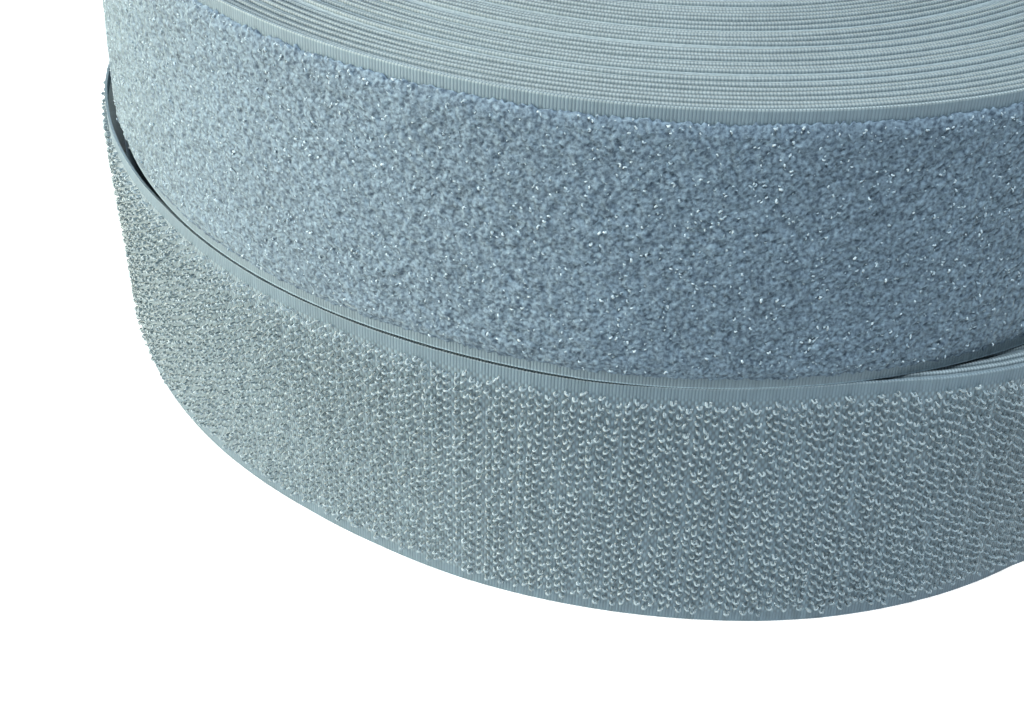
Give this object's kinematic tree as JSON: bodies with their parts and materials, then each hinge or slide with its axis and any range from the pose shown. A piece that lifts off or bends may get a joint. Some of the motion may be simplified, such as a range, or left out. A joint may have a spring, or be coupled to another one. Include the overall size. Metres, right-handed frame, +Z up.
{
  "type": "hook and loop tape roll",
  "caption": "Pair of wide hook and loop tape rolls, the loop roll stacked on the hook roll, each spiral-wound on a tube core with a free tail that peels away.",
  "frame": {"origin": "on the table under the middle of the hook roll, where its core's axis meets its underside", "axes": "+Z up along the cores' axes, -Y towards the camera of the picture, +X to its right"},
  "size_m": [0.245, 0.2444, 0.1003],
  "materials": {
    "hook_tape": "satin",
    "loop_tape": "matte",
    "core_board": "matte",
    "adhesive_strip": "satin"
  },
  "bodies": {
    "hook_roll": {"hook_core": "core_board", "hook_start_strip": "adhesive_strip", "hook_inner_pack": "hook_tape", "hook_outer_turns": "hook_tape"},
    "hook_free_end": {"hook_tail": "hook_tape"},
    "loop_roll": {"loop_core": "core_board", "loop_start_strip": "adhesive_strip", "loop_inner_pack": "loop_tape", "loop_outer_turns": "loop_tape"},
    "loop_free_end": {"loop_tail": "loop_tape"}
  },
  "joints": [
    {"name": "loop_roll_turn", "type": "hinge", "parent": "hook_roll", "child": "loop_roll", "pos_m": [-0.0063, -0.009, 0.0503], "axis": [0, 0, 1], "continuous": true},
    {"name": "hook_tail_peel", "type": "hinge", "parent": "hook_roll", "child": "hook_free_end", "pos_m": [0.09636, 0.07684, 0.025], "axis": [0, 0, -1], "range_deg": [0, 65], "stiffness_Nm_per_rad": 0.002},
    {"name": "loop_tail_peel", "type": "hinge", "parent": "loop_roll", "child": "loop_free_end", "pos_m": [-0.06706, 0.08811, 0.0753], "axis": [0, 0, -1], "range_deg": [0, 65], "stiffness_Nm_per_rad": 0.002}
  ]
}
